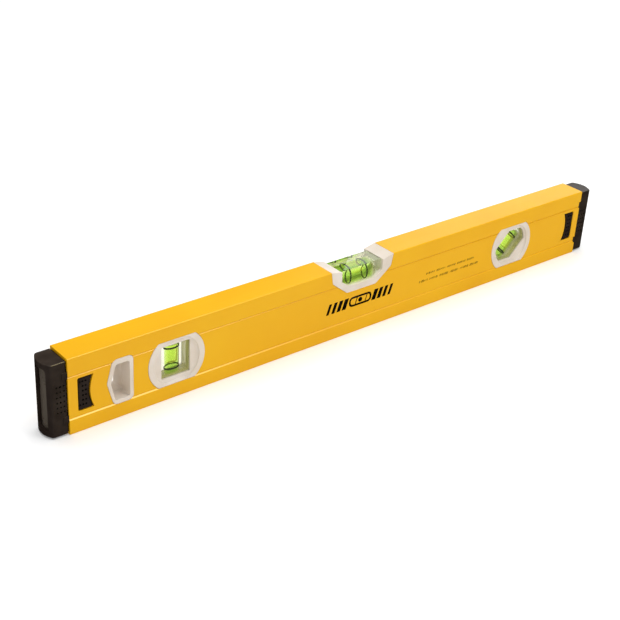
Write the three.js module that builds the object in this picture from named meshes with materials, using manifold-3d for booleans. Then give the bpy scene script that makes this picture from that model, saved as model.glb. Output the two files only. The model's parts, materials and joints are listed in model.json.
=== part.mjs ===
// A 450 mm box-section spirit level, in millimetres with +Z up.
// It stands on its working face at z = 0, runs along X and is centred on x = 0 and y = 0.

import * as THREE from 'three';
import { mergeVertices } from 'three/addons/utils/BufferGeometryUtils.js';
import Module from 'manifold-3d';

const wasm = await Module();
wasm.setup();

// ---- driving dimensions ------------------------------------------------------------------

const gap = 0.3;                 // clearance between pieces that fit or touch
const fineGap = 0.15;            // clearance inside a vial
const beyond = 20;               // how far a cutter runs past the piece that it cuts

const beam = { length: 424, width: 19, height: 49, wall: 1.5, cap: 2, edge: 0.6, inside: 0.8 };
const panel = { low: 9.4, high: 37.7, depth: 0.35 };     // the sunk strip along each side
const halfBeam = beam.length / 2;
const face = beam.width / 2;
const middle = beam.height / 2;
const cavity = face - panel.depth - beam.wall;

const endCap = { reach: 13, side: 8.7, low: 1, high: 47.7, edge: 0.7, crown: 13.4, corner: 7.7 };
const pocket = { side: 6, low: 4.6, high: 44.4, depth: 2.3, corner: 2.2 };
const spigot = { inner: 189, wall: 1.6, low: 2.4, high: 46.6, root: 2 };
const key = { low: 10.4, high: 38.6, height: 4.6, inside: 1.3, outside: 3.4, proud: 0.3 };

const latchWindow = { inner: 196, outer: 206.2, low: 13.4, high: 34.8, bow: 2.3, corner: 0.7 };
const tongue = { root: 190.6, thickness: 1.6, lugSink: 0.35, grow: 0.5, gap: 0.65, bowGap: 1.3 };

const hang = {
  rim: [[-184, 39.1, 4], [-187.9, 24.4, 4], [-183.6, 9.2, 3.2], [-170.3, 9.2, 3.2], [-170.3, 39.1, 3.4]],
  hole: [[-181.9, 35.4, 1.5], [-185.2, 24, 2], [-182.4, 12, 1.6], [-172.9, 12, 1.2], [-172.9, 35.4, 1.4]],
};

const bezel = { radius: 19.65, flat: 15.05, dishRadius: 15.1, dishDepth: 1.6, sink: 0.1, recess: 0.8 };
const plumbX = -141;
const angleX = 141;
const plumbBlock = { wide: 19.7, high: 21.3, corner: 0.4 };
const angleBlock = { halfBand: 9.05, flat: 10.75, radius: 14.3, steps: 8 };
const roundBlockDepth = face - bezel.dishDepth - bezel.recess;     // from the middle to either end

const notch = [[26.2, 49.5, 0], [26.1, 49, 0], [24.6, 40.5, 1.6], [12.1, 30.9, 1.6]];
const holder = {
  front: 2.2,                     // thickness of the lips in front of and behind the block
  shoulder: { outerX: 26.1, outerZ: 48.9, innerX: 17.35, innerZ: 46.9 },
  open: { topX: 17.35, bendX: 16.85, bendZ: 39.6, footX: 9.8, footZ: 35.3, corner: 0.8 },
};
const centreBlock = { half: 17.35, top: 46.4, bend: 37, foot: 11.1, low: 32.2 };

const bore = { radius: 4.6, fluid: 4.05, ringIn: 4.15, ringOut: 4.5, ringWidth: 0.5 };
const ringSpacing = 13.7;
const plug = { radius: 4.45, thickness: 1.8 };
const centreVial = { z: 38.9, low: -13.6, high: 14, bubble: 12.4, travel: 5.5 };
const plumbVial = { low: -9.2, high: 10.65, bubble: 12.4, travel: 4.4 };
const angleVial = { low: -9.2, high: 9.8, bubble: 11.4, travel: 4.1 };
const air = { upright: 3.3, level: 2.4 };       // bubble radii, on end and lying along the top

const arcSteps = 5;
const discSteps = 14;
const roundSteps = 24;

// ---- finishes ----------------------------------------------------------------------------

const finishes = {
  yellow: { color: 0xeeb020, roughness: 0.42, metalness: 0.3 },
  black: { color: 0x2b2826, roughness: 0.5, metalness: 0 },
  cream: { color: 0xe4dacd, roughness: 0.4, metalness: 0 },
  clear: { color: 0xd7e6c4, roughness: 0.06, metalness: 0, transparent: true, opacity: 0.35 },
  lime: { color: 0x9fd23a, roughness: 0.1, metalness: 0, transparent: true, opacity: 0.75 },
  air: { color: 0xeef7c8, roughness: 0.05, metalness: 0, transparent: true, opacity: 0.6 },
  ring: { color: 0x141414, roughness: 0.55, metalness: 0 },
};

// ---- solids ------------------------------------------------------------------------------

function solid(geometry) {
  const bare = geometry.clone();
  bare.deleteAttribute('normal');
  bare.deleteAttribute('uv');
  const merged = mergeVertices(bare, 1e-5);
  return new wasm.Manifold(new wasm.Mesh({
    numProp: 3,
    vertProperties: new Float32Array(merged.attributes.position.array),
    triVerts: new Uint32Array(merged.index.array),
  }));
}

function geometryOf(body) {
  const mesh = body.getMesh();
  const geometry = new THREE.BufferGeometry();
  geometry.setAttribute('position', new THREE.BufferAttribute(mesh.vertProperties.slice(), 3));
  geometry.setIndex(new THREE.BufferAttribute(mesh.triVerts.slice(), 1));
  geometry.computeVertexNormals();
  return geometry;
}

function extrude(shape, depth, steps = arcSteps) {
  return new THREE.ExtrudeGeometry(shape, { depth, bevelEnabled: false, curveSegments: steps });
}

// An outline drawn in (x, z) and carried from y = near to y = far.
function alongY(shape, near, far, steps) {
  return solid(extrude(shape, far - near, steps).rotateX(Math.PI / 2).translate(0, far, 0));
}

// An outline drawn in (y, z) and carried from x = start to x = end.
function alongX(shape, start, end, steps) {
  const turn = new THREE.Matrix4().makeBasis(
    new THREE.Vector3(0, 1, 0), new THREE.Vector3(0, 0, 1), new THREE.Vector3(1, 0, 0));
  return solid(extrude(shape, end - start, steps).applyMatrix4(turn).translate(start, 0, 0));
}

function box(x0, x1, y0, y1, z0, z1) {
  const geometry = new THREE.BoxGeometry(x1 - x0, y1 - y0, z1 - z0);
  return solid(geometry.translate((x0 + x1) / 2, (y0 + y1) / 2, (z0 + z1) / 2));
}

// Everything between x = start and x = end.
function slice(start, end) {
  return box(start, end, -beyond, beyond, -beyond, beam.height + beyond);
}

// Turns a solid about Z by half a turn, which makes the left-hand piece from the right-hand one.
function halfTurn(body) {
  return body.rotate([0, 0, 180]);
}

// ---- outlines ----------------------------------------------------------------------------

// A closed outline through corners [x, y, radius], each corner eased by its radius.
function outline(corners) {
  const shape = new THREE.Shape();
  corners.forEach(([x, y, radius], i) => {
    const corner = new THREE.Vector2(x, y);
    const before = new THREE.Vector2(...corners.at(i - 1)).sub(corner).setLength(radius);
    const after = new THREE.Vector2(...corners[(i + 1) % corners.length]).sub(corner).setLength(radius);
    const start = corner.clone().add(before);
    const end = corner.clone().add(after);
    if (i === 0) shape.moveTo(start.x, start.y);
    else shape.lineTo(start.x, start.y);
    if (radius > 0) shape.quadraticCurveTo(x, y, end.x, end.y);
  });
  shape.closePath();
  return shape;
}

// Moves every side of an anticlockwise outline inwards by a distance.
function inset(corners, distance) {
  return corners.map(([x, y, radius], i) => {
    const corner = new THREE.Vector2(x, y);
    const into = corner.clone().sub(new THREE.Vector2(...corners.at(i - 1))).normalize();
    const out = new THREE.Vector2(...corners[(i + 1) % corners.length]).sub(corner).normalize();
    const turn = into.cross(out);
    const move = out.sub(into).multiplyScalar(distance / turn);
    return [x + move.x, y + move.y, radius];
  });
}

function mirrored(half) {
  const other = half.map(([x, y, radius]) => [-x, y, radius]);
  return [...half, ...other.reverse()].reverse();
}

function rectangle(halfWidth, low, high, radius = 0) {
  return outline([
    [-halfWidth, low, radius], [halfWidth, low, radius],
    [halfWidth, high, radius], [-halfWidth, high, radius],
  ]);
}

// A disc with two flats, level at top and bottom.
function flattedDisc(radius, flat) {
  const angle = Math.asin(flat / radius);
  const shape = new THREE.Shape();
  shape.absarc(0, 0, radius, -angle, angle, false);
  shape.absarc(0, 0, radius, Math.PI - angle, Math.PI + angle, false);
  shape.closePath();
  return shape;
}

// The latch opening: three straight sides and an inner side that bows towards the cap.
function latchOutline(clearance = 0, bowClearance = 0) {
  const { bow, corner } = latchWindow;
  const inner = latchWindow.inner + bowClearance;
  const outer = latchWindow.outer - clearance;
  const low = latchWindow.low + clearance;
  const high = latchWindow.high - clearance;
  const shape = new THREE.Shape();
  shape.moveTo(inner, low);
  shape.lineTo(outer - corner, low);
  shape.lineTo(outer, low + corner);
  shape.lineTo(outer, high - corner);
  shape.lineTo(outer - corner, high);
  shape.lineTo(inner, high);
  shape.quadraticCurveTo(inner + 2 * bow, (low + high) / 2, inner, low);
  return shape;
}

// ---- round pieces ------------------------------------------------------------------------

// A cylinder along Z, from z = low to z = high.
function rod(radius, low, high) {
  const geometry = new THREE.CylinderGeometry(radius, radius, high - low, roundSteps);
  return solid(geometry.rotateX(Math.PI / 2).translate(0, 0, (low + high) / 2));
}

// A capsule along Z, centred on the origin.
function capsule(radius, length) {
  return solid(new THREE.CapsuleGeometry(radius, length - 2 * radius, 4, roundSteps).rotateX(Math.PI / 2));
}

// A band inside the bore at z = height.
function band(height) {
  const half = bore.ringWidth / 2;
  return rod(bore.ringOut, height - half, height + half)
    .subtract(rod(bore.ringIn, height - 1, height + 1));
}

// ---- frame of the level --------------------------------------------------------------------

function profileSection() {
  const sunk = face - panel.depth;
  const edge = beam.edge;
  return outline([
    [-face, 0, edge], [face, 0, edge],
    [face, panel.low, 0], [sunk, panel.low + panel.depth, 0],
    [sunk, panel.high - panel.depth, 0], [face, panel.high, 0],
    [face, beam.height, edge], [-face, beam.height, edge],
    [-face, panel.high, 0], [-sunk, panel.high - panel.depth, 0],
    [-sunk, panel.low + panel.depth, 0], [-face, panel.low, 0],
  ]);
}

// Notches for the keys in both walls of the right-hand end.
function keyNotches() {
  const reach = halfBeam - key.inside - gap;
  return [key.low, key.high].map((z) => {
    const half = key.height / 2 + gap;
    return box(reach, halfBeam + 1, -face - 1, face + 1, z - half, z + half);
  });
}

function buildProfile() {
  const through = face + 1;
  const hollow = rectangle(cavity, beam.cap, beam.height - beam.cap, beam.inside);
  let body = alongX(profileSection(), -halfBeam, halfBeam)
    .subtract(alongX(hollow, -halfBeam - 1, halfBeam + 1));
  const atEachEnd = [alongY(latchOutline(), -through, through), ...keyNotches()];
  for (const cut of atEachEnd) body = body.subtract(cut).subtract(halfTurn(cut));
  body = body.subtract(alongY(outline(hang.rim), -through, through));
  body = body.subtract(alongY(outline(mirrored(notch)), -through, through));
  const round = alongY(flattedDisc(bezel.radius, bezel.flat), -through, through, discSteps);
  for (const x of [plumbX, angleX]) body = body.subtract(round.translate([x, 0, middle]));
  return body;
}

// ---- end caps and their latches --------------------------------------------------------------

function capPlan(start) {
  const centre = halfBeam + endCap.reach - endCap.crown;
  const angle = Math.asin(endCap.corner / endCap.crown);
  const meet = centre + endCap.crown * Math.cos(angle);
  const run = (endCap.side - endCap.corner) / Math.cos(angle);
  const cornerX = meet - run * Math.sin(angle);
  const shape = new THREE.Shape();
  shape.moveTo(start, -endCap.side);
  shape.lineTo(cornerX - run, -endCap.side);
  shape.quadraticCurveTo(cornerX, -endCap.side, meet, -endCap.corner);
  shape.absarc(centre, 0, endCap.crown, -angle, angle, false);
  shape.quadraticCurveTo(cornerX, endCap.side, cornerX - run, endCap.side);
  shape.lineTo(start, endCap.side);
  shape.closePath();
  return shape;
}

// The cap outside the beam: it is drawn longer than it is, so that its bevel stops at its outer end.
function capHead() {
  const { low, high, edge, reach } = endCap;
  const geometry = new THREE.ExtrudeGeometry(capPlan(halfBeam - reach), {
    depth: high - low - 2 * edge,
    curveSegments: 8,
    bevelThickness: edge,
    bevelSize: edge,
    bevelOffset: -edge,
    bevelSegments: 2,
  });
  return solid(geometry.translate(0, 0, low + edge)).intersect(slice(halfBeam + gap, halfBeam + beyond));
}

function capPocket() {
  const centre = halfBeam + endCap.reach - endCap.crown;
  const mouth = rectangle(pocket.side, pocket.low, pocket.high, pocket.corner);
  const opening = alongX(mouth, halfBeam, halfBeam + beyond);
  const floor = rod(endCap.crown - pocket.depth, 0, beam.height).translate([centre, 0, 0]);
  return opening.subtract(floor);
}

// Low tabs that stand proud of the cap's sides and reach into the notches of the beam.
function capKeys() {
  const side = endCap.side + key.proud;
  const end = halfBeam + key.outside;
  const half = key.height / 2;
  return [key.low, key.high].map((z) => box(halfBeam - key.inside, end, -side, side, z - half, z + half));
}

function buildCap() {
  const { inner, wall, low, high, root } = spigot;
  const outer = cavity - gap;
  let body = capHead();
  for (const one of capKeys()) body = body.add(one);
  body = body.subtract(box(halfBeam - beyond, halfBeam + gap, -outer, outer, 0, beam.height));
  body = body.add(box(inner, halfBeam + root, -outer, outer, low, high));
  body = body.subtract(box(inner - 1, halfBeam - 1, -outer + wall, outer - wall, low + wall, high - wall));
  const slotLow = latchWindow.low - 2 * tongue.grow;
  const slotHigh = latchWindow.high + 2 * tongue.grow;
  const slot = box(tongue.root - gap, latchWindow.outer + 1, -face, face, slotLow, slotHigh);
  return body.subtract(slot).subtract(capPocket());
}

// The front latch of the right-hand end: a springy tongue with a raised lug that fills the window.
function buildLatch() {
  const outer = cavity - gap;
  const low = latchWindow.low - tongue.grow;
  const high = latchWindow.high + tongue.grow;
  const tip = latchWindow.outer - tongue.gap;
  const tab = box(tongue.root, tip, -outer, -outer + tongue.thickness, low, high);
  const lugOutline = latchOutline(tongue.gap, tongue.bowGap);
  return tab.add(alongY(lugOutline, -face + tongue.lugSink, -outer + tongue.thickness / 2));
}

// ---- hanging hole, holders and vials -----------------------------------------------------------

function buildLiner() {
  const rim = alongY(outline(inset(hang.rim, gap)), -face, -fineGap);
  return rim.subtract(alongY(outline(hang.hole), -face - 1, 1));
}

// The front half of a round vial holder: a dished plate with an opening for the block.
function buildBezel(opening) {
  const disc = flattedDisc(bezel.radius - gap, bezel.flat - gap);
  const shell = alongY(disc, -face + bezel.sink, -fineGap, discSteps);
  const dish = rod(bezel.dishRadius, 0, bezel.dishDepth + 1).rotate([90, 0, 0])
    .translate([0, -face + bezel.dishDepth, 0]);
  return shell.subtract(dish).subtract(opening);
}

function plumbPrism(clearance, near, far) {
  const high = plumbBlock.high / 2 + clearance;
  return alongY(rectangle(plumbBlock.wide / 2 + clearance, -high, high, plumbBlock.corner), near, far);
}

// The sloping block is a 45 degree band, cut by two levels and a circle.
function anglePrism(clearance, near, far) {
  const half = angleBlock.halfBand + clearance;
  const strip = box(-half, half, near, far, -beyond, beyond).rotate([0, 45, 0]);
  const disc = flattedDisc(angleBlock.radius + clearance, angleBlock.flat + clearance);
  return strip.intersect(alongY(disc, near, far, angleBlock.steps));
}

// The centre vial's cradle: sloping shoulders, a mouth in each lip and a bed for the block between them.
function buildHolder() {
  const { front, shoulder, open } = holder;
  const y = face - bezel.sink;
  const above = beam.height + beyond;
  const slopeTop = [[shoulder.outerX + beyond, above, 0], [shoulder.outerX, shoulder.outerZ, 0]];
  const shoulders = [...slopeTop, [shoulder.innerX, shoulder.innerZ, 0]];
  const mouthFoot = [[open.bendX, open.bendZ, open.corner], [open.footX, open.footZ, open.corner]];
  const mouth = [[open.topX, above, 0], ...mouthFoot];
  const bed = inset(mirrored(seatCorners(above)), -gap);
  return alongY(outline(inset(mirrored(notch), gap)), -y, y)
    .subtract(alongY(outline(mirrored(shoulders)), -y - 1, y + 1))
    .subtract(alongY(outline(mirrored(mouth)), -y - 1, y + 1))
    .subtract(alongY(outline(bed), -y + front, y - front));
}

function seatCorners(top) {
  const { half, bend, foot, low } = centreBlock;
  return [[half, top, 0], [half, bend, 0], [foot, low, 0]];
}

function centreBlank() {
  const depth = face - bezel.sink - holder.front - gap;
  return alongY(outline(mirrored(seatCorners(centreBlock.top))), -depth, depth);
}

// ---- vials -------------------------------------------------------------------------------------
// A vial is made with its bore along +Z and its plug at the top, then tilted about Y into place.

function boreHole({ low, high }) {
  return rod(bore.radius, low, high + beyond);
}

function fluidTop(vial) {
  return vial.high - plug.thickness - 2 * fineGap;
}

// An upright bubble rests against the plug, and the fluid leaves it a well to sink in.
function uprightBubble(vial) {
  const middleAt = fluidTop(vial) - fineGap - vial.bubble / 2;
  const foot = middleAt - vial.bubble / 2 - vial.travel - fineGap;
  return {
    solid: capsule(air.upright, vial.bubble).translate([0, 0, middleAt]),
    well: rod(air.upright + fineGap, foot, vial.high),
  };
}

// A lying bubble runs along the top of the bore, in a trough that is open upwards.
function lyingBubble(vial) {
  const up = -(bore.fluid - air.level);
  const reach = vial.bubble / 2 + vial.travel + fineGap;
  const half = air.level + fineGap;
  const channel = box(-2 * bore.radius, up, -half, half, -reach, reach);
  return {
    solid: capsule(air.level, vial.bubble).translate([up, 0, 0]),
    well: rod(half, -reach, reach).translate([up, 0, 0]).add(channel),
  };
}

function placeVial(prefix, vial, blank, bubble, ringNames, position, tilt) {
  const degrees = THREE.MathUtils.radToDeg(tilt);
  const fluid = rod(bore.fluid, vial.low + fineGap, fluidTop(vial)).subtract(bubble.well);
  const stopper = rod(plug.radius, vial.high - plug.thickness, vial.high);
  place(`${prefix}_vial_block`, blank.subtract(boreHole(vial).rotate([0, degrees, 0])), 'clear', position);
  place(`${prefix}_vial_fluid`, fluid, 'lime', position, tilt);
  place(`${prefix}_vial_plug`, stopper, 'clear', position, tilt);
  place(`${prefix}_bubble`, bubble.solid, 'air', position, tilt);
  ringNames.forEach((name, i) => {
    place(`${prefix}_${name}`, band((i - 0.5) * ringSpacing), 'ring', position, tilt);
  });
}

// The upright and the 45 degree vials sit between two round holders.
function placeRoundVial(prefix, vial, prism, x, tilt) {
  const position = [x, 0, middle];
  const half = buildBezel(prism(gap, -face - 1, face + 1));
  place(`${prefix}_bezel_front`, half, 'cream', position);
  place(`${prefix}_bezel_back`, half.mirror([0, 1, 0]), 'cream', position);
  const blank = prism(0, -roundBlockDepth, roundBlockDepth);
  placeVial(prefix, vial, blank, uprightBubble(vial), ['ring_lower', 'ring_upper'], position, tilt);
}

// ---- assembly ----------------------------------------------------------------------------------

const level = new THREE.Group();

function place(name, body, finish, position = [0, 0, 0], tilt = 0) {
  const material = new THREE.MeshStandardMaterial({ ...finishes[finish] });
  const mesh = new THREE.Mesh(geometryOf(body), material);
  mesh.name = name;
  mesh.position.set(...position);
  mesh.rotation.y = tilt;
  level.add(mesh);
}

place('profile', buildProfile(), 'yellow');

const cap = buildCap();
place('end_cap_right', cap, 'black');
place('end_cap_left', halfTurn(cap), 'black');

const latch = buildLatch();
const latchBehind = latch.mirror([0, 1, 0]);
place('latch_right_front', latch, 'black');
place('latch_right_back', latchBehind, 'black');
place('latch_left_front', halfTurn(latchBehind), 'black');
place('latch_left_back', halfTurn(latch), 'black');

const liner = buildLiner();
place('hang_liner_front', liner, 'cream');
place('hang_liner_back', liner.mirror([0, 1, 0]), 'cream');

place('centre_holder', buildHolder(), 'cream');
const centreAt = [0, 0, centreVial.z];
const centreBlankAtOrigin = centreBlank().translate([0, 0, -centreVial.z]);
placeVial('centre', centreVial, centreBlankAtOrigin, lyingBubble(centreVial), ['ring_left', 'ring_right'],
  centreAt, Math.PI / 2);

placeRoundVial('plumb', plumbVial, plumbPrism, plumbX, 0);
placeRoundVial('angle', angleVial, anglePrism, angleX, Math.PI / 4);

export default level;
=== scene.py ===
import json
from math import asin, atan2, cos, pi, radians, sin, tan

import bmesh
import bpy
from mathutils import Matrix, Vector

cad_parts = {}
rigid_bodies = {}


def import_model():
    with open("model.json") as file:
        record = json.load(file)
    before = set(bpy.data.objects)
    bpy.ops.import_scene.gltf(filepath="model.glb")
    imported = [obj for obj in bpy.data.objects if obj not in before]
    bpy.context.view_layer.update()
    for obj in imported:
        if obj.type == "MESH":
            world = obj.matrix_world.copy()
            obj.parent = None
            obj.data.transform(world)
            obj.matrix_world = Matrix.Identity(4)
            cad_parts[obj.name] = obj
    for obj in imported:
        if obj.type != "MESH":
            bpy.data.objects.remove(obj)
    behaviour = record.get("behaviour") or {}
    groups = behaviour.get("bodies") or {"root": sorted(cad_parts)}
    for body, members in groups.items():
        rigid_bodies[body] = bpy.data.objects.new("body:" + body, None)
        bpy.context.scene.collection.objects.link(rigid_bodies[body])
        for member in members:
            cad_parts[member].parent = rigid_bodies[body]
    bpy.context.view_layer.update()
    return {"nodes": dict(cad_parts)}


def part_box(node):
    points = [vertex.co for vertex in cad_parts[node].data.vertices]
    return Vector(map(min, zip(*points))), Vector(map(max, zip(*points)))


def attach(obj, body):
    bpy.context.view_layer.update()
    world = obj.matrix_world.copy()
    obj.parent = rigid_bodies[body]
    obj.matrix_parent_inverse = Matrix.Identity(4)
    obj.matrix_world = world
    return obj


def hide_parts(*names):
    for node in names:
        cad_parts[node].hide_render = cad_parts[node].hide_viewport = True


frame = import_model()
scene = bpy.context.scene
mm = 0.001
print("frame loaded:", len(frame["nodes"]), "CAD nodes")


# small tools for colour and nodes

def linear(hexColour):  # an sRGB hex value as the linear colour that the sockets take
    parts = [int(hexColour[i:i + 2], 16) / 255 for i in (1, 3, 5)]
    return [c / 12.92 if c <= 0.04045 else ((c + 0.055) / 1.055) ** 2.4 for c in parts] + [1]


def perMm(size):  # texture scale that makes one feature about this many mm across
    return 1 / (size * mm)


def addNode(tree, kind, inputs=None, **settings):
    node = tree.nodes.new(kind)
    for name, value in settings.items():
        setattr(node, name, value)
    for key, value in (inputs or {}).items():
        if isinstance(value, bpy.types.NodeSocket):
            tree.links.new(value, node.inputs[key])
        else:
            node.inputs[key].default_value = value
    return node


def startMaterial(name):
    material = bpy.data.materials.new(name)
    material.use_nodes = True
    material.node_tree.nodes.clear()
    return material, material.node_tree


def fade(tree, value, low, high, first, last):  # maps value from low..high to a colour between two
    ramp = addNode(tree, "ShaderNodeValToRGB", {"Fac": value})
    ramp.color_ramp.elements[0].position = low
    ramp.color_ramp.elements[1].position = high
    ramp.color_ramp.elements[0].color = first
    ramp.color_ramp.elements[1].color = last
    return ramp.outputs["Color"]


def spread(tree, value, low, high):  # maps 0.3..0.7 of a noise to low..high
    node = addNode(tree, "ShaderNodeMapRange", {"Value": value, "From Min": 0.3, "From Max": 0.7,
                                                "To Min": low, "To Max": high})
    return node.outputs["Result"]


# materials

paint = {"colour": "#F0B60E", "dull": "#ECAE0A", "roughness": 0.36, "shine": 0.25, "streakLength": 90,
         "streakWidth": 0.5, "streakDepth": 0.004, "peel": 1.4, "peelDepth": 0.003, "cloud": 45}


def makePaint():
    # polyester powder paint on an extrusion: an even satin sheen, with faint die lines along the beam
    material, tree = startMaterial("satin yellow paint on extruded aluminium")
    place = addNode(tree, "ShaderNodeTexCoord").outputs["Object"]
    length, width = perMm(paint["streakLength"]), perMm(paint["streakWidth"])
    drawn = addNode(tree, "ShaderNodeMapping", {"Vector": place, "Scale": (length, width, width)})
    streaks = addNode(tree, "ShaderNodeTexNoise", {"Vector": drawn.outputs[0], "Scale": 1.0, "Detail": 3.0})
    peel = addNode(tree, "ShaderNodeTexNoise", {
        "Vector": place, "Scale": perMm(paint["peel"]), "Detail": 2.0})
    cloud = addNode(tree, "ShaderNodeTexNoise", {
        "Vector": place, "Scale": perMm(paint["cloud"]), "Detail": 2.0})
    lines = addNode(tree, "ShaderNodeBump", {"Height": streaks.outputs["Fac"], "Strength": 0.5,
                                             "Distance": paint["streakDepth"] * mm})
    skin = addNode(tree, "ShaderNodeBump", {"Height": peel.outputs["Fac"], "Strength": 0.5,
                                            "Distance": paint["peelDepth"] * mm, "Normal": lines.outputs[0]})
    colour = fade(tree, cloud.outputs["Fac"], 0.3, 0.7, linear(paint["dull"]), linear(paint["colour"]))
    rough = spread(tree, streaks.outputs["Fac"], paint["roughness"] - 0.04, paint["roughness"] + 0.05)
    shader = addNode(tree, "ShaderNodeBsdfPrincipled", {
        "Base Color": colour, "Roughness": rough, "Normal": skin.outputs[0], "IOR": 1.5,
        "Specular IOR Level": paint["shine"]})
    addNode(tree, "ShaderNodeOutputMaterial", {"Surface": shader.outputs[0]})
    return material


blackPlastic = {"colour": "#2A1F18", "worn": "#372B23", "roughness": 0.44, "shine": 0.35, "grain": 0.6,
                "grainDepth": 0.02, "rub": 9}
# the pocket floor's lighter base colour is a painted reflection of the bright floor
polished = {"colour": "#524A40", "worn": "#5E554A", "roughness": 0.3, "shine": 0.5, "grain": 2.5,
            "grainDepth": 0.004, "rub": 9}
# painted shade: a near-black base colour for the pits and the joint grooves
pitShade = {"colour": "#0A0705", "worn": "#0E0A07", "roughness": 0.7, "shine": 0.1, "grain": 0.6,
          "grainDepth": 0.02, "rub": 9}


def makeBlackPlastic(name, values):
    material, tree = startMaterial(name)
    place = addNode(tree, "ShaderNodeTexCoord").outputs["Object"]
    grain = addNode(tree, "ShaderNodeTexNoise", {
        "Vector": place, "Scale": perMm(values["grain"]), "Detail": 3.0, "Roughness": 0.6})
    rub = addNode(tree, "ShaderNodeTexNoise", {
        "Vector": place, "Scale": perMm(values["rub"]), "Detail": 3.0})
    bump = addNode(tree, "ShaderNodeBump", {"Height": grain.outputs["Fac"], "Strength": 0.6,
                                            "Distance": values["grainDepth"] * mm})
    colour = fade(tree, rub.outputs["Fac"], 0.35, 0.75, linear(values["colour"]), linear(values["worn"]))
    rough = spread(tree, rub.outputs["Fac"], values["roughness"] - 0.06, values["roughness"] + 0.06)
    shader = addNode(tree, "ShaderNodeBsdfPrincipled", {
        "Base Color": colour, "Roughness": rough, "Normal": bump.outputs[0], "IOR": 1.52,
        "Specular IOR Level": values["shine"]})
    addNode(tree, "ShaderNodeOutputMaterial", {"Surface": shader.outputs[0]})
    return material


cream = {"colour": "#E9DFD3", "shade": "#DDD0BF", "roughness": 0.33, "grain": 1.1, "grainDepth": 0.006,
         "flow": 14}


def makeCream():
    # off-white ABS from a polished tool: smooth and slightly milky, with a broad soft highlight
    material, tree = startMaterial("moulded off-white ABS, polished")
    place = addNode(tree, "ShaderNodeTexCoord").outputs["Object"]
    flow = addNode(tree, "ShaderNodeTexNoise", {
        "Vector": place, "Scale": perMm(cream["flow"]), "Detail": 2.0})
    grain = addNode(tree, "ShaderNodeTexNoise", {
        "Vector": place, "Scale": perMm(cream["grain"]), "Detail": 2.0})
    bump = addNode(tree, "ShaderNodeBump", {"Height": grain.outputs["Fac"], "Strength": 0.5,
                                            "Distance": cream["grainDepth"] * mm})
    colour = fade(tree, flow.outputs["Fac"], 0.3, 0.7, linear(cream["shade"]), linear(cream["colour"]))
    rough = spread(tree, flow.outputs["Fac"], cream["roughness"] - 0.05, cream["roughness"] + 0.05)
    shader = addNode(tree, "ShaderNodeBsdfPrincipled", {
        "Base Color": colour, "Roughness": rough, "Normal": bump.outputs[0], "IOR": 1.53,
        "Subsurface Weight": 0.12, "Subsurface Radius": (0.9, 0.7, 0.5), "Subsurface Scale": 0.8 * mm})
    addNode(tree, "ShaderNodeOutputMaterial", {"Surface": shader.outputs[0]})
    return material


ink = {"colour": "#0C0806", "thin": "#241A0E", "roughness": 0.5, "shine": 0.15, "cover": 0.8}


def makeInk():
    # pad-printed ink: flat and near black, a little thin in places so that it doesn't look cut out
    material, tree = startMaterial("pad-printed black ink")
    place = addNode(tree, "ShaderNodeTexCoord").outputs["Object"]
    cover = addNode(tree, "ShaderNodeTexNoise", {
        "Vector": place, "Scale": perMm(ink["cover"]), "Detail": 2.0})
    colour = fade(tree, cover.outputs["Fac"], 0.25, 0.5, linear(ink["thin"]), linear(ink["colour"]))
    shader = addNode(tree, "ShaderNodeBsdfPrincipled", {
        "Base Color": colour, "Roughness": ink["roughness"], "IOR": 1.5, "Specular IOR Level": ink["shine"]})
    addNode(tree, "ShaderNodeOutputMaterial", {"Surface": shader.outputs[0]})
    return material


rippleSize = 3.5  # mm across one wave of a moulded clear face


def makeClear(name, colour, ior, ripple, glow=0, glowColour="#FFFFFF", absorb=0, absorbColour="#FFFFFF"):
    # light from the lamps passes straight through, so that what stands inside or behind is lit
    material, tree = startMaterial(name)
    place = addNode(tree, "ShaderNodeTexCoord").outputs["Object"]
    swirl = addNode(tree, "ShaderNodeTexNoise", {"Vector": place, "Scale": perMm(rippleSize), "Detail": 1.0})
    bump = addNode(tree, "ShaderNodeBump", {"Height": swirl.outputs["Fac"], "Strength": 0.4,
                                            "Distance": ripple * mm})
    # the emission is a painted light: the piece shines by itself, whatever the lamps do
    body = addNode(tree, "ShaderNodeBsdfPrincipled", {
        "Base Color": linear(colour), "Roughness": 0.02, "IOR": ior, "Transmission Weight": 1.0,
        "Normal": bump.outputs[0], "Emission Color": linear(glowColour), "Emission Strength": glow})
    through = addNode(tree, "ShaderNodeBsdfTransparent", {"Color": linear(colour)})
    path = addNode(tree, "ShaderNodeLightPath")
    both = addNode(tree, "ShaderNodeMixShader", {0: path.outputs["Is Shadow Ray"], 1: body.outputs[0],
                                                 2: through.outputs[0]})
    ends = {"Surface": both.outputs[0]}
    if absorb:
        soak = addNode(tree, "ShaderNodeVolumeAbsorption", {"Color": linear(absorbColour), "Density": absorb})
        ends["Volume"] = soak.outputs[0]
    addNode(tree, "ShaderNodeOutputMaterial", ends)
    return material


yellowPaint = makePaint()
# ABS moulded in a spark-eroded tool: a soft grey sheen over black, broken by a fine grain
# the real grain is about 0.15 mm, drawn four times as coarse so that it shows
blackAbs = makeBlackPlastic("moulded black ABS, spark-eroded grain", blackPlastic)
# the same ABS where the tool was polished: smoother, and painted a lighter grey, a painted reflection of the
# bright floor in the pocket
sheenPaintedAbs = makeBlackPlastic("moulded black ABS, polished", polished)
# the bottoms of the pits and the joint grooves: painted shade, a darker and duller black that stands for the
# shade in these recesses
pitShadeAbs = makeBlackPlastic("moulded black ABS, matt in the grooves", pitShade)
creamAbs = makeCream()
blackInk = makeInk()
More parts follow.
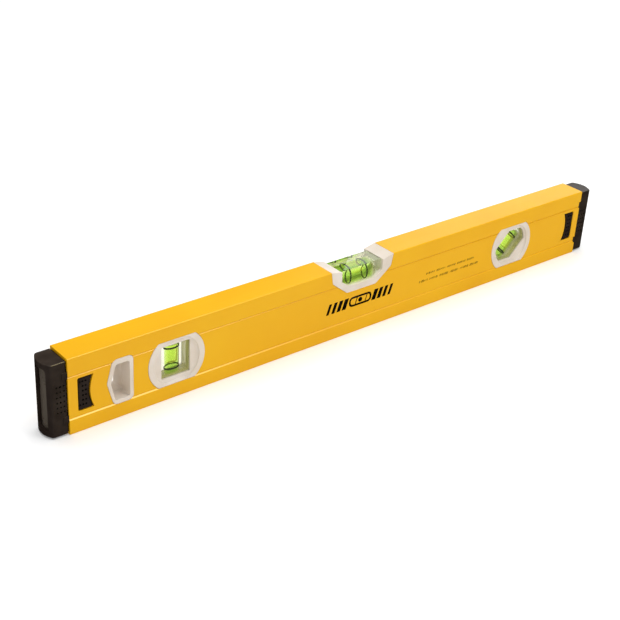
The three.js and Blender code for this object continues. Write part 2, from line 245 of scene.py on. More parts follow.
# cast acrylic, IOR 1.49: clear, with a very slight green cast and wavy moulded faces; a faint painted green
# light of its own lifts the shade inside it
acrylic = makeClear("clear moulded acrylic, polished", "#EFF1E6", 1.49, 0.01, glow=0.04, glowColour="#DDEEB4")
# the plugs are glued in with a clear solvent weld, so that they only just show
gluedAcrylic = makeClear("clear acrylic plug, solvent-welded", "#EFF6E4", 1.05, 0.0)
# dyed mineral spirit: glows yellow-green, as its dye fluoresces, drawn as a steady painted light of its own
# that also brightens it; its IOR is given against the acrylic round it
spirit = makeClear("fluorescent green spirit", "#FAFFEC", 0.96, 0.0, glow=0.05, glowColour="#C2E840",
                   absorb=255, absorbColour="#CCE638")
# air in the spirit: its IOR is given against the liquid, so its rim goes dark and bright; a yellow painted
# light of its own brightens it
airBubble = makeClear("air in green spirit", "#FFFFFF", 0.95, 0.0, glow=0.12, glowColour="#FFE24A")


# an olive sheet put where the block's sides only show shade: painted shade, with a painted light of its own,
# and darker towards the faces
film = {"dark": "#B0A670", "light": "#E0D69E", "edge": "#4A4228", "glow": 0.15, "streak": 0.7, "drawn": 12,
        "thickness": 0.05, "fadeFrom": 6.1, "fadeTo": 6.8}


def makeShadeFilmMaterial():
    # an olive sheet between the acrylic and its seat: painted shade for the dim olive seen through the sides
    # of the block, with a painted light of its own from the emission; it mirrors dimly, it is drawn into
    # streaks along the bore, and painted shade makes it darker towards the front and back faces
    material, tree = startMaterial("olive vial cement, cured film")
    place = addNode(tree, "ShaderNodeTexCoord").outputs["Object"]
    across, along = perMm(film["streak"]), perMm(film["streak"] * film["drawn"])
    drawn = addNode(tree, "ShaderNodeMapping", {"Vector": place, "Scale": (across, across, along)})
    streaks = addNode(tree, "ShaderNodeTexNoise", {"Vector": drawn.outputs[0], "Scale": 1.0, "Detail": 3.0})
    colour = fade(tree, streaks.outputs["Fac"], 0.35, 0.65, linear(film["dark"]), linear(film["light"]))
    # painted shade: towards the front and back faces the sheet turns to the dark edge colour
    depth = addNode(tree, "ShaderNodeSeparateXYZ", {"Vector": place})
    inwards = addNode(tree, "ShaderNodeMath", {0: depth.outputs["Y"]}, operation="ABSOLUTE")
    shade = addNode(tree, "ShaderNodeMapRange", {
        "Value": inwards.outputs[0], "From Min": film["fadeFrom"] * mm, "From Max": film["fadeTo"] * mm})
    shadedToFaces = addNode(tree, "ShaderNodeMix", {
        "Factor": shade.outputs["Result"], "A": colour, "B": linear(film["edge"])}, data_type="RGBA")
    shader = addNode(tree, "ShaderNodeBsdfPrincipled", {
        "Base Color": shadedToFaces.outputs["Result"], "Metallic": 0.15, "Roughness": 0.2, "IOR": 1.5,
        "Emission Color": colour, "Emission Strength": film["glow"]})
    addNode(tree, "ShaderNodeOutputMaterial", {"Surface": shader.outputs[0]})
    return material


# the sheet's material: painted shade
paintedShadeFilm = makeShadeFilmMaterial()
print("materials made:", len(bpy.data.materials))


# small tools for shapes; every size is in mm until the mesh is made

def filleted(corners, steps=6):  # corners (a, b, radius) as an outline whose corners are round
    points = []
    for i, (a, b, radius) in enumerate(corners):
        here = Vector((a, b))
        back = (Vector(corners[i - 1][:2]) - here).normalized()
        ahead = (Vector(corners[(i + 1) % len(corners)][:2]) - here).normalized()
        if radius == 0:
            points.append((a, b))
            continue
        half = back.angle(ahead) / 2
        centre = here + (back + ahead).normalized() * radius / sin(half)
        start = here + back * radius / tan(half) - centre
        end = here + ahead * radius / tan(half) - centre
        first = atan2(start.y, start.x)
        sweep = (atan2(end.y, end.x) - first + pi) % (2 * pi) - pi
        for k in range(steps + 1):
            turn = first + sweep * k / steps
            points.append((centre.x + radius * cos(turn), centre.y + radius * sin(turn)))
    return points


def arc(centreA, centreB, radius, first, last, steps):
    turns = [first + (last - first) * k / steps for k in range(steps + 1)]
    return [(centreA + radius * cos(t), centreB + radius * sin(t)) for t in turns]


def curve(start, middle, end, steps=10):  # quadratic curve between two points
    shares = [k / steps for k in range(steps + 1)]
    return [tuple((1 - t) ** 2 * s + 2 * t * (1 - t) * m + t * t * e for s, m, e in zip(start, middle, end))
            for t in shares]


def newPiece(name, mesh):
    bmesh.ops.remove_doubles(mesh, verts=mesh.verts, dist=1e-7)
    bmesh.ops.recalc_face_normals(mesh, faces=mesh.faces)
    data = bpy.data.meshes.new(name)
    mesh.to_mesh(data)
    mesh.free()
    data.shade_smooth()
    piece = bpy.data.objects.new(name, data)
    scene.collection.objects.link(piece)
    return piece


def prism(name, outline, near, far, axis="Y"):  # an outline carried along an axis
    turns = {"X": lambda a, b, c: (c, a, b), "Y": lambda a, b, c: (a, c, b), "Z": lambda a, b, c: (a, b, c)}
    mesh = bmesh.new()
    place = turns[axis]
    ends = [[mesh.verts.new([v * mm for v in place(a, b, c)]) for a, b in outline] for c in (near, far)]
    for end in ends:
        mesh.faces.new(end)
    for i in range(len(outline)):
        mesh.faces.new((ends[0][i - 1], ends[0][i], ends[1][i], ends[1][i - 1]))
    return newPiece(name, mesh)


def box(name, x0, x1, y0, y1, z0, z1):
    return prism(name, [(x0, z0), (x1, z0), (x1, z1), (x0, z1)], y0, y1)


def turned(name, profile, steps=72):  # a profile of (radius, height) points spun about Z
    mesh = bmesh.new()
    rings = []
    for radius, height in profile:
        if radius == 0:
            rings.append([mesh.verts.new((0, 0, height * mm))])
            continue
        circle = arc(0, 0, radius, 0, 2 * pi * (1 - 1 / steps), steps - 1)
        rings.append([mesh.verts.new((x * mm, y * mm, height * mm)) for x, y in circle])
    closed = profile[0][0] > 0
    pairs = zip(rings, rings[1:] + rings[:1]) if closed else zip(rings, rings[1:])
    for lower, upper in pairs:
        for k in range(steps):
            ring = [lower[k % len(lower)], lower[(k + 1) % len(lower)],
                    upper[(k + 1) % len(upper)], upper[k % len(upper)]]
            mesh.faces.new(list(dict.fromkeys(ring)))
    return newPiece(name, mesh)


def moveTo(piece, x=0, y=0, z=0, tilt=0, lean=0):  # tilt about Y, lean about X, then a move, in the mesh
    turn = Matrix.Rotation(tilt, 4, "Y") @ Matrix.Rotation(lean, 4, "X")
    piece.data.transform(Matrix.Translation(Vector((x, y, z)) * mm) @ turn)
    return piece


def copyOf(piece, name, matrix=Matrix.Identity(4)):
    data = piece.data.copy()
    data.transform(matrix)
    if matrix.determinant() < 0:
        data.flip_normals()
    twin = bpy.data.objects.new(name, data)
    scene.collection.objects.link(twin)
    return twin


def settle(piece):  # makes the modifiers' result the plain mesh
    shape = bpy.data.meshes.new_from_object(piece.evaluated_get(bpy.context.evaluated_depsgraph_get()))
    piece.modifiers.clear()
    worn = piece.data
    piece.data = shape
    bpy.data.meshes.remove(worn)
    return piece


def combine(piece, others, operation="DIFFERENCE"):
    for other in others:
        step = piece.modifiers.new("combine", "BOOLEAN")
        step.operation = operation
        step.solver = "EXACT"
        step.object = other
    settle(piece)
    for other in others:
        bpy.data.objects.remove(other)
    return piece


def easeEdges(piece, width, segments=2, angle=32):
    piece.data.shade_smooth()
    bevel = piece.modifiers.new("eased edges", "BEVEL")
    bevel.width = width * mm
    bevel.segments = segments
    bevel.limit_method = "ANGLE"
    bevel.angle_limit = radians(angle)
    return evenShading(piece)


def evenShading(piece):  # flat faces stay flat next to their rounded edges
    even = piece.modifiers.new("even shading", "WEIGHTED_NORMAL")
    even.keep_sharp = True
    return settle(piece)


def sinkPits(piece, pits, x, facing, faceY):  # a grid of pits in the front or the back face of a piece
    outwards = faceY + pitLift
    centre = Vector((x, facing * outwards, middleZ)) * mm
    runTree(piece, pitTree, {**pits, "Centre": centre, "Material": blackAbs})
    piece.data.set_sharp_from_angle(angle=pitRim)
    return evenShading(piece)


def hand(piece, material, stands=(), body="root"):  # gives a finished piece to the frame
    piece.data.materials.clear()
    piece.data.materials.append(material)
    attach(piece, body)
    if stands:
        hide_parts(*stands)
    return piece


# geometry node trees

def startTree(name, sockets):
    tree = bpy.data.node_groups.new(name, "GeometryNodeTree")
    tree.interface.new_socket("Geometry", in_out="OUTPUT", socket_type="NodeSocketGeometry")
    tree.interface.new_socket("Geometry", in_out="INPUT", socket_type="NodeSocketGeometry")
    for label, kind, value in sockets:
        socket = tree.interface.new_socket(label, in_out="INPUT", socket_type="NodeSocket" + kind)
        if value is not None:
            socket.default_value = value
    return tree, addNode(tree, "NodeGroupInput").outputs


def endTree(tree, shape, given):  # plain faces with the piece's material
    plain = addNode(tree, "GeometryNodeRealizeInstances", {"Geometry": shape})
    dressed = addNode(tree, "GeometryNodeSetMaterial", {
        "Geometry": plain.outputs[0], "Material": given["Material"]})
    addNode(tree, "NodeGroupOutput", {0: dressed.outputs[0]})
    return tree


def runTree(piece, tree, values):
    step = piece.modifiers.new(tree.name, "NODES")
    step.node_group = tree
    for item in tree.interface.items_tree:
        if item.in_out == "INPUT" and item.name in values:
            step[item.identifier] = values[item.name]
    return settle(piece)


def makePitTree():  # sinks a grid of round pits into a face that looks along Y
    tree, given = startTree("grid of pits", [
        ("Columns", "Int", 3), ("Rows", "Int", 6), ("Pitch X", "Float", 0.0), ("Pitch Z", "Float", 0.0),
        ("Radius", "Float", 0.0), ("Centre", "Vector", None), ("Material", "Material", None)])

    def span(count, pitch):
        gaps = addNode(tree, "ShaderNodeMath", {0: count, 1: 1.0}, operation="SUBTRACT")
        whole = addNode(tree, "ShaderNodeMath", {0: gaps.outputs[0], 1: pitch}, operation="MULTIPLY")
        return whole.outputs[0]

    grid = addNode(tree, "GeometryNodeMeshGrid", {
        "Vertices X": given["Columns"], "Vertices Y": given["Rows"],
        "Size X": span(given["Columns"], given["Pitch X"]), "Size Y": span(given["Rows"], given["Pitch Z"])})
    upright = addNode(tree, "GeometryNodeTransform", {"Geometry": grid.outputs[0], "Rotation": (pi / 2, 0, 0),
                                                      "Translation": given["Centre"]})
    ball = addNode(tree, "GeometryNodeMeshIcoSphere", {"Radius": given["Radius"], "Subdivisions": 2})
    balls = addNode(tree, "GeometryNodeInstanceOnPoints", {
        "Points": upright.outputs[0], "Instance": ball.outputs[0]})
    sunk = addNode(tree, "GeometryNodeMeshBoolean", {"Mesh 1": given["Geometry"], "Mesh 2": balls.outputs[0]},
                   operation="DIFFERENCE")
    return endTree(tree, sunk.outputs[0], given)


def makeStrokeTree():  # a printed row of short leaning strokes in groups, which stands for small print
    tree, given = startTree("row of printed strokes", [
        ("Count", "Int", 40), ("Pitch", "Float", 0.0), ("Height", "Float", 0.0),
        ("Thickness", "Float", 0.0), ("Lean", "Float", 0.0), ("Seed", "Int", 1),
        ("Start", "Vector", None), ("Material", "Material", None)])
    step = addNode(tree, "ShaderNodeCombineXYZ", {"X": given["Pitch"]})
    row = addNode(tree, "GeometryNodeMeshLine", {"Count": given["Count"], "Start Location": given["Start"],
                                                 "Offset": step.outputs[0]})
    index = addNode(tree, "GeometryNodeInputIndex")
    wordEnd = addNode(tree, "ShaderNodeMath", {0: index.outputs[0], 1: 8.0}, operation="MODULO")
    inWord = addNode(tree, "ShaderNodeMath", {0: wordEnd.outputs[0], 1: 6.5}, operation="LESS_THAN")
    wide = addNode(tree, "FunctionNodeRandomValue", {2: 0.22, 3: 0.5, "Seed": given["Seed"]})
    tall = addNode(tree, "FunctionNodeRandomValue", {2: 0.62, 3: 1.0, "Seed": given["Seed"]})
    width = addNode(tree, "ShaderNodeMath", {0: wide.outputs[1], 1: given["Pitch"]}, operation="MULTIPLY")
    height = addNode(tree, "ShaderNodeMath", {0: tall.outputs[1], 1: given["Height"]}, operation="MULTIPLY")
    size = addNode(tree, "ShaderNodeCombineXYZ", {"X": width.outputs[0], "Y": given["Thickness"],
                                                  "Z": height.outputs[0]})
    turn = addNode(tree, "ShaderNodeCombineXYZ", {"Y": given["Lean"]})
    stroke = addNode(tree, "GeometryNodeMeshCube", {"Size": (1.0, 1.0, 1.0)})
    strokes = addNode(tree, "GeometryNodeInstanceOnPoints", {
        "Points": row.outputs[0], "Selection": inWord.outputs[0], "Instance": stroke.outputs[0],
        "Scale": size.outputs[0], "Rotation": turn.outputs[0]})
    return endTree(tree, strokes.outputs[0], given)


pitLift = 0.12  # the balls that cut the pits stand this far out of the face
pitRim = radians(35)  # an edge that turns more than this stays crisp
pitTree = makePitTree()
strokeTree = makeStrokeTree()
print("node trees made:", len(bpy.data.node_groups))


# the beam

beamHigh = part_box("profile")[1] / mm
halfBeam = beamHigh.x
face = beamHigh.y
topZ = beamHigh.z
beam = {"edge": 0.6, "panelLow": 9.4, "panelHigh": 37.7, "panelDepth": 0.35, "groove": 0.3, "wall": 1.5,
        "cap": 2, "inside": 0.8, "ease": 0.08}
window = {"inner": 196, "outer": 206.2, "low": 13.4, "high": 34.8, "bow": 2.3, "corner": 1.1}
hang = {  # corners of the rim and the hole, each with its radius
    "rim": [(-184, 39.1, 4), (-187.9, 24.4, 4), (-183.6, 9.2, 3.2), (-170.3, 9.2, 3.2), (-170.3, 39.1, 3.4)],
    "hole": [(-181.9, 35.4, 1.5), (-185.2, 24, 2), (-182.4, 12, 1.6), (-172.9, 12, 1.2), (-172.9, 35.4, 1.4)],
    "gap": 0.15, "ease": 0.3}
notch = [(26.3, 50.5, 0), (26.1, 49, 0), (24.6, 40.5, 2.2), (12.1, 30.9, 2.2)]
bezel = {"radius": 19.65, "flat": 15.05, "sink": 0.06, "gap": 0.18, "dishRadius": 15.7, "floorRadius": 12.9,
         "floorFlat": 13.2, "rimFlat": 14.3, "dishDepth": 1.6, "ease": 0.22, "fine": 0.12}
key = {"low": 10.4, "high": 38.6, "height": 4.6, "deep": 1.3, "outside": 3.4, "proud": 0.3, "gap": 0.15}
panelFace = face - beam["panelDepth"]
beyond = 1  # how far a cutting shape stands out of the piece that it cuts
halfGap = 0.02  # half the gap between the front and back halves of a holder or the liner


def mirrored(half):
    return half + [(-a, b, radius) for a, b, radius in reversed(half)]


def windowOutline(side, gap, bowGap):  # side is 1 at the right-hand end and -1 at the left
    w = window
    inner, outer = w["inner"] + bowGap, w["outer"] - gap
    low, high = w["low"] + gap, w["high"] - gap
    middle = (w["low"] + w["high"]) / 2
    right = filleted([(inner, low, 0), (outer, low, w["corner"]), (outer, high, w["corner"]),
                      (inner, high, 0)], 3)
    bow = curve((inner, high), (inner + 2 * w["bow"], middle), (inner, low))[1:-1]
    return [(side * x, z) for x, z in right + bow]


def flattedDisc(radius, flat, steps=40):
    turn = asin(flat / radius)
    return arc(0, 0, radius, -turn, turn, steps) + arc(0, 0, radius, pi - turn, pi + turn, steps)


def shifted(outline, x, z):
    return [(a + x, b + z) for a, b in outline]


def makeBeam():
    b = beam
    low, high, groove = b["panelLow"], b["panelHigh"], panelFace - b["groove"]
    drop, rise = face - groove, b["groove"]  # both facets of a groove slope by 45 degrees
    half = [(face, 0, b["edge"]), (face, low, 0), (groove, low + drop, 0),
            (panelFace, low + drop + rise, 0), (panelFace, high - drop - rise, 0),
            (groove, high - drop, 0), (face, high, 0), (face, topZ, b["edge"])]
    body = prism("beam", filleted(mirrored(half)), -halfBeam, halfBeam, "X")
    inside = panelFace - b["wall"]
    core = [(inside, b["cap"], b["inside"]), (inside, topZ - b["cap"], b["inside"])]
    cuts = [prism("core", filleted(mirrored(core)), -halfBeam - beyond, halfBeam + beyond, "X")]
    through = face + beyond
    for side in (-1, 1):
        cuts.append(prism("window", windowOutline(side, 0, 0), -through, through))
        for z in (key["low"], key["high"]):  # only the front right and back left keys reach into the beam
            reach = key["height"] / 2 + key["gap"]
            xs = sorted((side * (halfBeam - key["deep"] - key["gap"]), side * (halfBeam + beyond)))
            ys = sorted((0, -side * through))
            cuts.append(box("keyway", *xs, *ys, z - reach, z + reach))
    cuts.append(prism("hang", filleted(hang["rim"]), -through, through))
    cuts.append(prism("notch", filleted(mirrored(notch)), -through, through))
    for x in (plumbX, angleX):
        disc = shifted(flattedDisc(bezel["radius"], bezel["flat"]), x, middleZ)
        cuts.append(prism("round", disc, -through, through))
    combine(body, cuts)
    return hand(easeEdges(body, b["ease"]), yellowPaint, ["profile"])


def centreOf(node):
    low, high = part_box(node)
    return (low + high) / (2 * mm)


plumbX = centreOf("plumb_vial_block").x
angleX = centreOf("angle_vial_block").x
middleZ = centreOf("plumb_vial_block").z
makeBeam()
print("beam made")


# end caps

cap = {"reach": 13, "side": 8.7, "low": 1, "high": 47.7, "crown": 13.4, "corner": 7.7, "ease": 0.5,
       "fine": 0.2, "gap": 0.06, "tail": 8, "groove": 0.7, "grooveCorner": 0.5, "grooveWidth": 0.9,
       "pitsAt": 4.6}
pocket = {"side": 6, "low": 4.6, "high": 44.4, "depth": 2.3, "corner": 2.2}
spigot = {"inner": 189, "wall": 1.6, "low": 2.4, "high": 46.6, "gap": 0.3, "slotFrom": 190.3, "slotGap": 1}
capPits = {"Columns": 3, "Rows": 6, "Pitch X": 2.2 * mm, "Pitch Z": 3.3 * mm, "Radius": 0.65 * mm}
crownCentre = halfBeam + cap["reach"] - cap["crown"]


def capPlan():  # the cap from above: straight sides, a bowed end and round corners between them
    turn = asin(cap["corner"] / cap["crown"])
    meet = (crownCentre + cap["crown"] * cos(turn), cap["corner"])
    run = (cap["side"] - cap["corner"]) / cos(turn)
    corner = (meet[0] - run * sin(turn), cap["side"])
    side = curve((corner[0] - run, cap["side"]), corner, meet, 6)
    crown = arc(crownCentre, 0, cap["crown"], turn, -turn, 18)[1:-1]
    far = [(x, -y) for x, y in reversed(side)]
    start = halfBeam - cap["tail"]
    return [(start, cap["side"])] + side + crown + far + [(start, -cap["side"])]


def makeCap(name):
    start = halfBeam + cap["gap"]
    head = prism(name, capPlan(), cap["low"], cap["high"], "Z")
    easeEdges(head, cap["ease"], 4, 50)
    groove = cap["groove"]
    neck = [(cap["side"] - groove, z, cap["grooveCorner"])
            for z in (cap["low"] + groove, cap["high"] - groove)]
    ring = box("ring", start - 5, start + cap["grooveWidth"], -12, 12, -2, 52)
    combine(ring, [prism("neck", filleted(mirrored(neck)), halfBeam - 10, halfBeam + 5, "X")])
    combine(head, [box("tail", halfBeam - 20, start, -20, 20, -5, 60), ring])
    hollow = [(pocket["side"], z, pocket["corner"]) for z in (pocket["low"], pocket["high"])]
    opening = prism("pocket", filleted(mirrored(hollow)), halfBeam + 2, halfBeam + 30, "X")
    floorRadius = cap["crown"] - pocket["depth"]
    floor = turned("floor", [(0, -2), (floorRadius, -2), (floorRadius, topZ + 5), (0, topZ + 5)])
    combine(opening, [moveTo(floor, crownCentre)])
    combine(head, [opening])
    wide = panelFace - beam["wall"] - spigot["gap"]
    reach = key["height"] / 2
    proud, keyEnd = cap["side"] + key["proud"], halfBeam + key["outside"]
    adds = []
    for z in (key["low"], key["high"]):
        adds.append(box("key", halfBeam - key["deep"], keyEnd, -proud, 0, z - reach, z + reach))
        adds.append(box("key", start, keyEnd, 0, proud, z - reach, z + reach))
    combine(head, adds, "UNION")
    combine(head, [box("clear", halfBeam - 5, start, -wide, wide, 0, topZ)])
    root = box("spigot", spigot["inner"], halfBeam + 2, -wide, wide, spigot["low"], spigot["high"])
    combine(head, [root], "UNION")
    wall = spigot["wall"]
    clear = spigot["slotGap"]
    combine(head, [
        box("bore", spigot["inner"] - beyond, halfBeam - 1, -wide + wall, wide - wall,
            spigot["low"] + wall, spigot["high"] - wall),
        box("slot", spigot["slotFrom"], window["outer"] + clear, -face, face,
            window["low"] - clear, window["high"] + clear)])
    easeEdges(head, cap["fine"])
    for facing in (-1, 1):
        sinkPits(head, capPits, halfBeam + cap["pitsAt"], facing, cap["side"])
    return head


def pitFloor(at, pits, x, y):  # true inside a grid of pits, below the face that they are sunk in
    wide = pits["Columns"] * pits["Pitch X"] / (2 * mm)
    high = pits["Rows"] * pits["Pitch Z"] / (2 * mm)
    deep = y - pits["Radius"] / mm
    return abs(abs(at.x) - x) < wide and abs(at.z - middleZ) < high and deep < abs(at.y) < y - 0.04


def inGroove(at):  # true in the joint groove between the beam and the head of a cap
    out = abs(at.x) - halfBeam
    return 0 < out < cap["grooveWidth"] + 0.05 and abs(at.y) < cap["side"] - 0.1


def paintPitShade(piece, test):  # gives the faces whose centre passes the test the darker, matt material: painted shade
    piece.data.materials.append(pitShadeAbs)
    index = len(piece.data.materials) - 1
    for polygon in piece.data.polygons:
        if test(polygon.center / mm):
            polygon.material_index = index


rightCap = makeCap("cap_right")
leftCap = copyOf(rightCap, "cap_left", Matrix.Rotation(pi, 4, "Z"))
for piece, side in ((rightCap, 1), (leftCap, -1)):
    hand(piece, blackAbs, ["end_cap_right" if side > 0 else "end_cap_left"])
    piece.data.materials.append(sheenPaintedAbs)
    for polygon in piece.data.polygons:  # the bowed floor of the pocket is polished, and its lighter grey is a painted reflection
        x, y, z = polygon.center / mm
        outwards = Vector((x - side * crownCentre, y, 0))
        offFloor = abs(outwards.length - cap["crown"] + pocket["depth"])
        onFloor = offFloor < 0.2 and abs(y) < pocket["side"]
        polygon.material_index = int(onFloor and polygon.normal.dot(outwards.normalized()) > 0.9)
    # painted shade in the joint groove and the pits
    paintPitShade(piece, lambda at: inGroove(at) or pitFloor(at, capPits, halfBeam + cap["pitsAt"], cap["side"]))
print("end caps made")


# latches in the windows

tongue = {"root": 190.6, "thickness": 1.6, "sink": 0.35, "gap": 0.65, "bowGap": 1.3, "ease": 0.3, "grow": 0.5,
          "overlap": 0.8, "pitsAt": 203.0}
latchPits = {"Columns": 3, "Rows": 6, "Pitch X": 1.9 * mm, "Pitch Z": 3.0 * mm, "Radius": 0.66 * mm}


def makeLatch(side, facing):  # side is 1 on the right, facing is -1 in front
    end = {1: "right", -1: "left"}[side]
    where = {1: "back", -1: "front"}[facing]
    t = tongue
    outer = panelFace - beam["wall"] - spigot["gap"]
    ys = sorted((facing * (outer - t["thickness"]), facing * outer))
    xs = sorted((side * t["root"], side * (window["outer"] - t["gap"])))
    low, high = window["low"] - t["grow"], window["high"] + t["grow"]
    piece = box(f"latch_{end}_{where}_pad", *xs, *ys, low, high)
    lugFace = face - t["sink"]
    ends = sorted((facing * lugFace, facing * (outer - t["overlap"])))
    lug = prism("lug", windowOutline(side, t["gap"], t["bowGap"]), *ends)
    combine(piece, [lug], "UNION")
    easeEdges(piece, t["ease"])
    sinkPits(piece, latchPits, side * t["pitsAt"], facing, lugFace)
    node = f"latch_{end}_{where}"
    hand(piece, blackAbs, [node], node)
    # painted shade in the pits
    paintPitShade(piece, lambda at: pitFloor(at, latchPits, t["pitsAt"], lugFace))


for side in (-1, 1):
    for facing in (-1, 1):
        makeLatch(side, facing)
print("latches made")


# liner of the hanging hole

def grown(corners, distance):  # every side of a clockwise or anticlockwise outline moved outwards
    area = sum(a[0] * b[1] - b[0] * a[1] for a, b in zip(corners, corners[1:] + corners[:1]))
    way = distance if area > 0 else -distance
    moved = []
    for i, (a, b, radius) in enumerate(corners):
        here = Vector((a, b))
        into = (here - Vector(corners[i - 1][:2])).normalized()
        out = (Vector(corners[(i + 1) % len(corners)][:2]) - here).normalized()
        move = (into - out) * way / (into.x * out.y - into.y * out.x)
        moved.append((a + move.x, b + move.y, radius))
    return moved


def makeLiner(facing):
    where = {1: "back", -1: "front"}[facing]
    ys = sorted((facing * (face - halfGap), facing * halfGap))
    piece = prism(f"hole_liner_{where}", filleted(grown(hang["rim"], -hang["gap"])), *ys)
    combine(piece, [prism("hole", filleted(hang["hole"]), -face - beyond, face + beyond)])
    easeEdges(piece, hang["ease"], 3)
    return hand(piece, creamAbs, [f"hang_liner_{where}"])


for facing in (-1, 1):
    makeLiner(facing)
print("hanging hole made")


# round holders of the upright and the sloping vial

blockSize = {"wide": 19.7, "high": 21.3, "corner": 0.4, "halfBand": 9.05, "flat": 10.75, "radius": 14.3,
             "recess": 0.8, "gap": 0.05, "ease": 0.25}
blockFace = face - bezel["dishDepth"]
farOut = 30  # well clear of a round holder


def rounded(x0, x1, z0, z1, radius):  # the corners of a rectangle, each with its radius
    return [(x0, z0, radius), (x1, z0, radius), (x1, z1, radius), (x0, z1, radius)]


def uprightBlock(name, grow, near, far):
    wide, high = blockSize["wide"] / 2 + grow, blockSize["high"] / 2 + grow
    return prism(name, filleted(rounded(-wide, wide, -high, high, blockSize["corner"]), 3), near, far)


def slopingBlock(name, grow, near, far):
    half = blockSize["halfBand"] + grow
    piece = prism(name, flattedDisc(blockSize["radius"] + grow, blockSize["flat"] + grow, 16), near, far)
    strip = box("strip", -half, half, near - beyond, far + beyond, -farOut, farOut)
    moveTo(strip, tilt=pi / 4)
    return combine(piece, [strip], "INTERSECT")


def dishCutter():  # a shallow dish with a coved wall
    outer, inner, depth = bezel["dishRadius"], bezel["floorRadius"], bezel["dishDepth"]
    turns = [t * pi / 20 for t in range(11)]
    cove = [(inner + (outer - inner) * sin(t), -depth + depth * (1 - cos(t))) for t in turns]
    dish = turned("dish", [(0, -depth)] + cove + [(outer + 0.01, 3), (0, 3)], 96)
    low, high = bezel["floorFlat"], bezel["rimFlat"]
    slope = (high - low) / depth
    sides = [(-low, -depth), (low, -depth), (high + slope, 1), (-high - slope, 1)]
    return combine(dish, [prism("flats", sides, -farOut, farOut, "X")], "INTERSECT")


def makeHolders(prefix, x, blockShape):
    outline = flattedDisc(bezel["radius"] - bezel["gap"], bezel["flat"] - bezel["gap"])
    front = prism(f"{prefix}_holder_front", outline, -face + bezel["sink"], -halfGap)
    easeEdges(front, bezel["ease"], 3)
    dish = moveTo(dishCutter(), y=-face, lean=pi / 2)
    combine(front, [dish, blockShape("opening", blockSize["gap"], -face - 2, face + 2)])
    easeEdges(front, bezel["fine"])
    back = copyOf(front, f"{prefix}_holder_back", Matrix.Scale(-1, 4, (0, 1, 0)))
    for piece, where in ((front, "front"), (back, "back")):
        moveTo(piece, x, 0, middleZ)
        hand(piece, creamAbs, [f"{prefix}_bezel_{where}"])


def makePaintedShadeFilm(prefix, x, blockShape):  # a thin film that touches the four long sides of the block: a sheet of painted shade
    depth = blockFace - blockSize["recess"] - 0.2
    piece = blockShape(f"{prefix}_cement", blockSize["gap"] / 2, -depth, depth)
    combine(piece, [blockShape("inside", -film["thickness"], -depth - 1, depth + 1)])
    return hand(moveTo(piece, x, 0, middleZ), paintedShadeFilm)


# sheets of painted shade round the two round-holder blocks
makePaintedShadeFilm("plumb", plumbX, uprightBlock)
makePaintedShadeFilm("angle", angleX, slopingBlock)
makeHolders("plumb", plumbX, uprightBlock)
makeHolders("angle", angleX, slopingBlock)
print("round holders made")


# holder of the centre vial

seat = {"front": 2.2, "openTop": 17.4, "topZ": 46.9, "openBend": 39.6, "openFoot": 9.8, "openLow": 35.3,
        "openCorner": 1.2, "sink": 0.06, "gap": 0.15, "press": 0.03, "ease": 0.25, "above": 52}
centreBlock = [(17.35, 46.4), (17.35, 37), (11.1, 32.2)]


def makeCentreHolder():
    s = seat
    y = face - s["sink"]
    piece = prism("centre_cradle", filleted(grown(mirrored(notch), -s["gap"])), -y, y)
    shoulders = [(28, 51, 0), (26.1, topZ - 0.05, 0), (s["openTop"], s["topZ"], 0)]
    opening = [(s["openTop"], s["above"], 0), (s["openTop"] - 0.5, s["openBend"], s["openCorner"]),
               (s["openFoot"], s["openLow"], s["openCorner"])]
    bed = [(centreBlock[0][0] - s["press"], s["above"], 0)]
    bed += [(x - s["press"], z + s["press"], 0) for x, z in centreBlock[1:]]
    inner = y - s["front"]
    combine(piece, [
        prism("shoulders", filleted(mirrored(shoulders)), -y - 1, y + 1),
        prism("opening", filleted(mirrored(opening)), -y - 1, y + 1),
        prism("bed", filleted(mirrored(bed)), -inner, inner)])
    return hand(easeEdges(piece, s["ease"], 3), creamAbs, ["centre_holder"])


makeCentreHolder()
print("centre holder made")


# vials: each is made with its bore along Z, then tilted into place

vials = {
    "centre": {"low": -13.6, "high": 14, "bubble": 12.4, "tilt": pi / 2,
               "middle": (0, 0, 38.9), "rings": ("ring_left", "ring_right")},
    "plumb": {"low": -10.3, "high": 10.65, "bubble": 12.4, "bubbleTop": 8.5, "tilt": 0,
              "middle": (plumbX, 0, middleZ), "rings": ("ring_lower", "ring_upper")},
    "angle": {"low": -11.6, "high": 12.2, "bubble": 11.4, "bubbleTop": 7.6, "tilt": pi / 4,
              "middle": (angleX, 0, middleZ), "rings": ("ring_lower", "ring_upper")},
}
bore = {"radius": 4.95, "belly": 0.06, "ringWidth": 1.15, "ringThick": 0.25, "ringEdge": 0.03,
        "ringSpacing": 13.7, "plug": 1.8, "plugEdge": 0.3}
bubbleShape = {"upright": 4.0, "flat": 1.1, "levelHalfWidth": 3.1, "levelHalfHeight": 1.9, "levelGap": 0.25}


def placeVial(piece, prefix):
    return moveTo(piece, *vials[prefix]["middle"], tilt=vials[prefix]["tilt"])


def makeBlock(prefix):
    depth = blockFace - blockSize["recess"]
    if prefix == "centre":
        depth = face - seat["sink"] - seat["front"] + seat["press"]
        half = [(x, z, 0.3) for x, z in centreBlock]
        piece = prism("centre_block", filleted(mirrored(half), 2), -depth, depth)
    else:
        shape, x = {"plumb": (uprightBlock, plumbX), "angle": (slopingBlock, angleX)}[prefix]
        piece = moveTo(shape(f"{prefix}_block", 0, -depth, depth), x, 0, middleZ)
    easeEdges(piece, blockSize["ease"], 3)
    return hand(piece, acrylic, [f"{prefix}_vial_block"])


